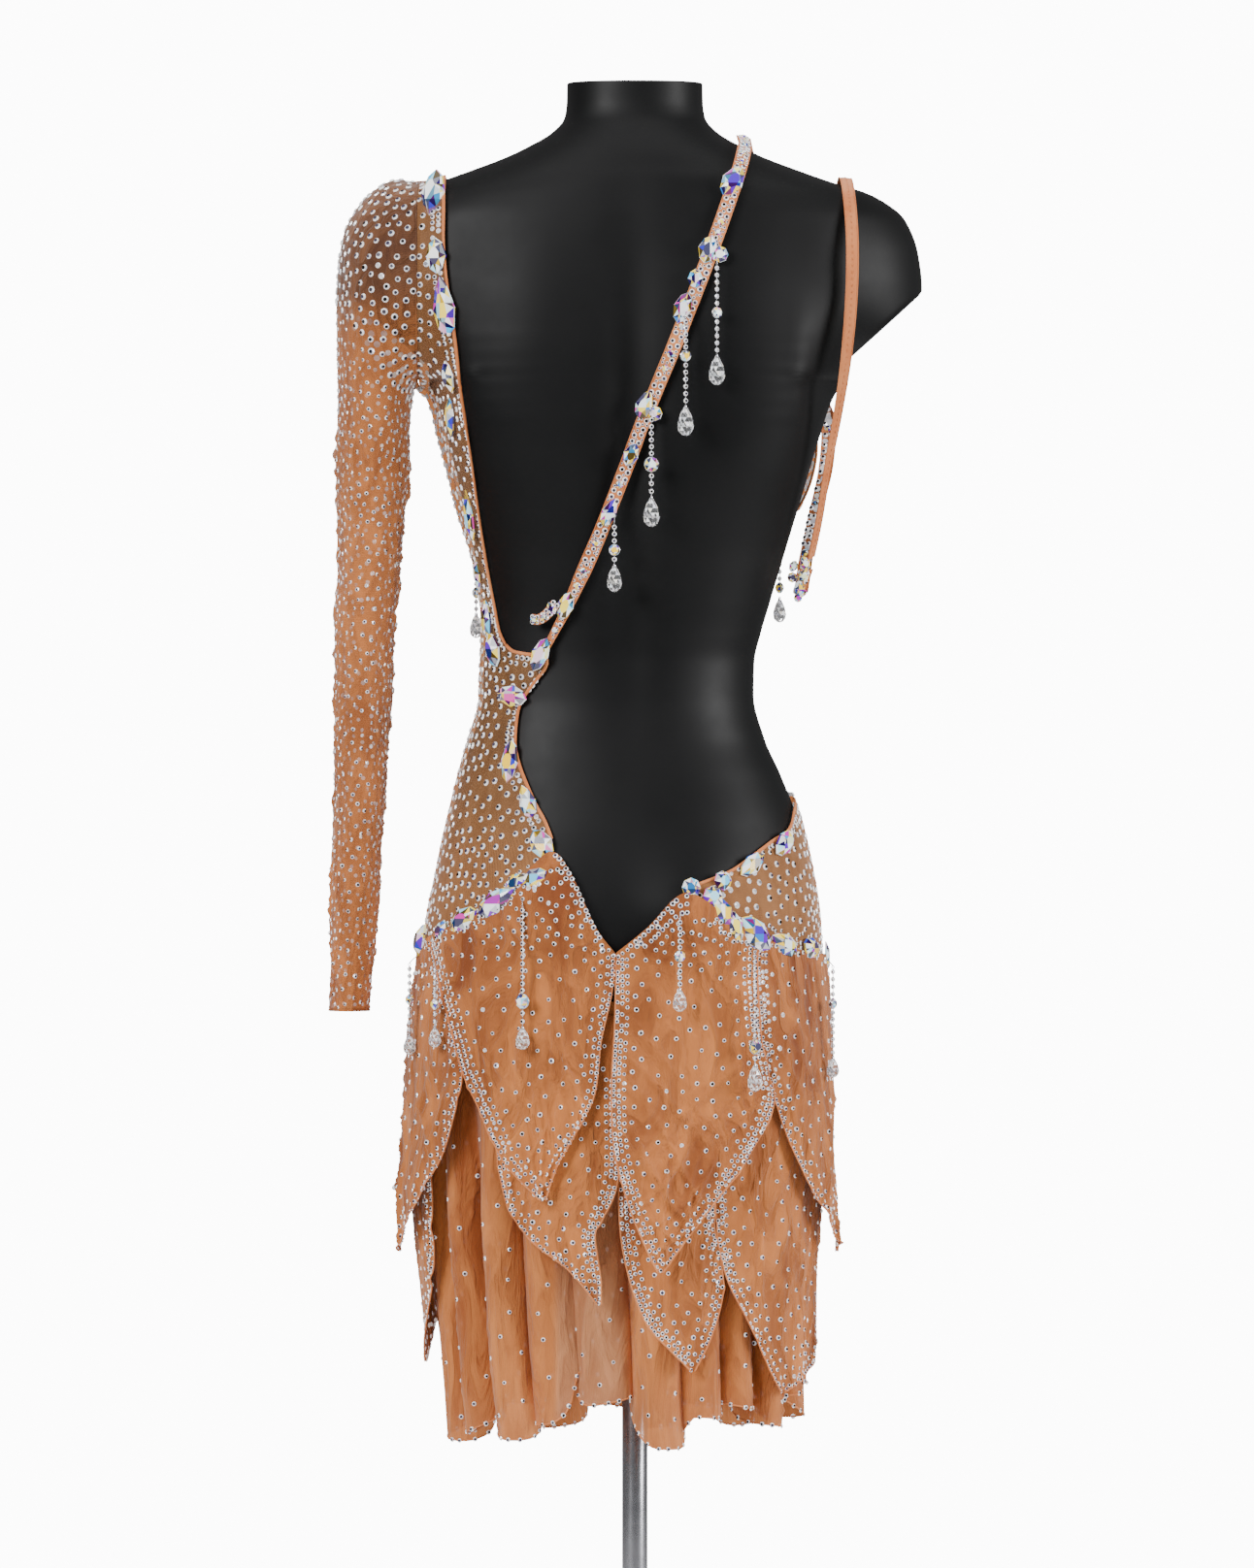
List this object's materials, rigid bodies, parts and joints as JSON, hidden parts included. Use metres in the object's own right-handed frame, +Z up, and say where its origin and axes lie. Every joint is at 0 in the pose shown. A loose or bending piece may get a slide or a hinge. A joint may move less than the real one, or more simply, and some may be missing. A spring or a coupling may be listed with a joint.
{
  "type": "salsa dance dress on a torso dress form",
  "caption": "One-sleeved, open-backed salsa dance dress with a petal skirt, crystal studs and hanging crystal drops, on a gloss black limbless torso form with a pole stand.",
  "frame": {"origin": "middle of the underside of the stand's base", "axes": "+Z up along the pole; the wearer's back faces +Y and the front -Y; +X is the wearer's left, where the sleeve is"},
  "size_m": [0.442, 0.29, 1.1545],
  "materials": {
    "mesh_fabric": "fine stretch mesh, sheer, matte",
    "skirt_fabric": "soft sheer crepe, slight sheen",
    "binding_fabric": "elastic binding, matte",
    "crystal": "clear faceted crystal",
    "form_gloss": "satin gloss black",
    "stand_steel": "satin"
  },
  "bodies": {
    "dress_on_form": {"front_bodice": "mesh_fabric", "back_left_panel": "mesh_fabric", "right_hip_panel": "mesh_fabric", "left_sleeve": "mesh_fabric", "underskirt_back": "skirt_fabric", "underskirt_front": "skirt_fabric", "petal_back_left": "skirt_fabric", "petal_back_right": "skirt_fabric", "petal_side_right": "skirt_fabric", "petal_side_left": "skirt_fabric", "petal_front_left": "skirt_fabric", "petal_front_right": "skirt_fabric", "lower_petal_back_left": "skirt_fabric", "lower_petal_back_right": "skirt_fabric", "lower_petal_far_right": "skirt_fabric", "lower_petal_far_left": "skirt_fabric", "lower_petal_front_left": "skirt_fabric", "lower_petal_front_right": "skirt_fabric", "diagonal_strap": "binding_fabric", "strap_tab": "binding_fabric", "shoulder_strap": "binding_fabric", "arm_loop_front": "binding_fabric", "binding_upper": "binding_fabric", "binding_waist": "binding_fabric", "binding_hip": "binding_fabric", "form_torso": "form_gloss", "stand_base": "stand_steel", "stand_pole": "stand_steel"},
    "drop_strap_1_swing": {"drop_strap_1": "crystal"},
    "drop_strap_2_swing": {"drop_strap_2": "crystal"},
    "drop_strap_3_swing": {"drop_strap_3": "crystal"},
    "drop_strap_4_swing": {"drop_strap_4": "crystal"},
    "drop_hip_left_swing": {"drop_hip_left": "crystal"},
    "drop_hip_right_swing": {"drop_hip_right": "crystal"},
    "drop_hip_far_right_swing": {"drop_hip_far_right": "crystal"},
    "drop_side_left_back_swing": {"drop_side_left_back": "crystal"},
    "drop_side_left_swing": {"drop_side_left": "crystal"},
    "drop_side_right_swing": {"drop_side_right": "crystal"},
    "drop_waist_right_swing": {"drop_waist_right": "crystal"},
    "drop_waist_left_swing": {"drop_waist_left": "crystal"}
  },
  "joints": [
    {"name": "drop_strap_1_hinge", "type": "hinge", "parent": "dress_on_form", "child": "drop_strap_1_swing", "pos_m": [-0.0605, 0.114, 1.018], "axis": [1, 0, 0], "range_deg": [0, 60]},
    {"name": "drop_strap_2_hinge", "type": "hinge", "parent": "dress_on_form", "child": "drop_strap_2_swing", "pos_m": [-0.0374, 0.117, 0.978], "axis": [1, 0, 0], "range_deg": [0, 60]},
    {"name": "drop_strap_3_hinge", "type": "hinge", "parent": "dress_on_form", "child": "drop_strap_3_swing", "pos_m": [-0.0122, 0.1105, 0.906], "axis": [1, 0, 0], "range_deg": [0, 60]},
    {"name": "drop_strap_4_hinge", "type": "hinge", "parent": "dress_on_form", "child": "drop_strap_4_swing", "pos_m": [0.0151, 0.098, 0.827], "axis": [1, 0, 0], "range_deg": [0, 60]},
    {"name": "drop_hip_left_hinge", "type": "hinge", "parent": "dress_on_form", "child": "drop_hip_left_swing", "pos_m": [0.0828, 0.119, 0.544], "axis": [1, 0, 0], "range_deg": [0, 60]},
    {"name": "drop_hip_right_hinge", "type": "hinge", "parent": "dress_on_form", "child": "drop_hip_right_swing", "pos_m": [-0.0331, 0.129, 0.535], "axis": [1, 0, 0], "range_deg": [0, 60]},
    {"name": "drop_hip_far_right_hinge", "type": "hinge", "parent": "dress_on_form", "child": "drop_hip_far_right_swing", "pos_m": [-0.0886, 0.115, 0.506], "axis": [1, 0, 0], "range_deg": [0, 60]},
    {"name": "drop_side_left_back_hinge", "type": "hinge", "parent": "dress_on_form", "child": "drop_side_left_back_swing", "pos_m": [0.148, 0.079, 0.499], "axis": [0.5, -0.866, 0], "range_deg": [0, 50]},
    {"name": "drop_side_left_hinge", "type": "hinge", "parent": "dress_on_form", "child": "drop_side_left_swing", "pos_m": [0.1672, 0.046, 0.5], "axis": [0, -1, 0], "range_deg": [0, 20]},
    {"name": "drop_side_right_hinge", "type": "hinge", "parent": "dress_on_form", "child": "drop_side_right_swing", "pos_m": [-0.147, 0.046, 0.498], "axis": [0, 1, 0], "range_deg": [0, 60]},
    {"name": "drop_waist_right_hinge", "type": "hinge", "parent": "dress_on_form", "child": "drop_waist_right_swing", "pos_m": [-0.1085, -0.066, 0.828], "axis": [0, 1, 0], "range_deg": [0, 60]},
    {"name": "drop_waist_left_hinge", "type": "hinge", "parent": "dress_on_form", "child": "drop_waist_left_swing", "pos_m": [0.1185, -0.035, 0.8], "axis": [0, -1, 0], "range_deg": [0, 40]}
  ]
}
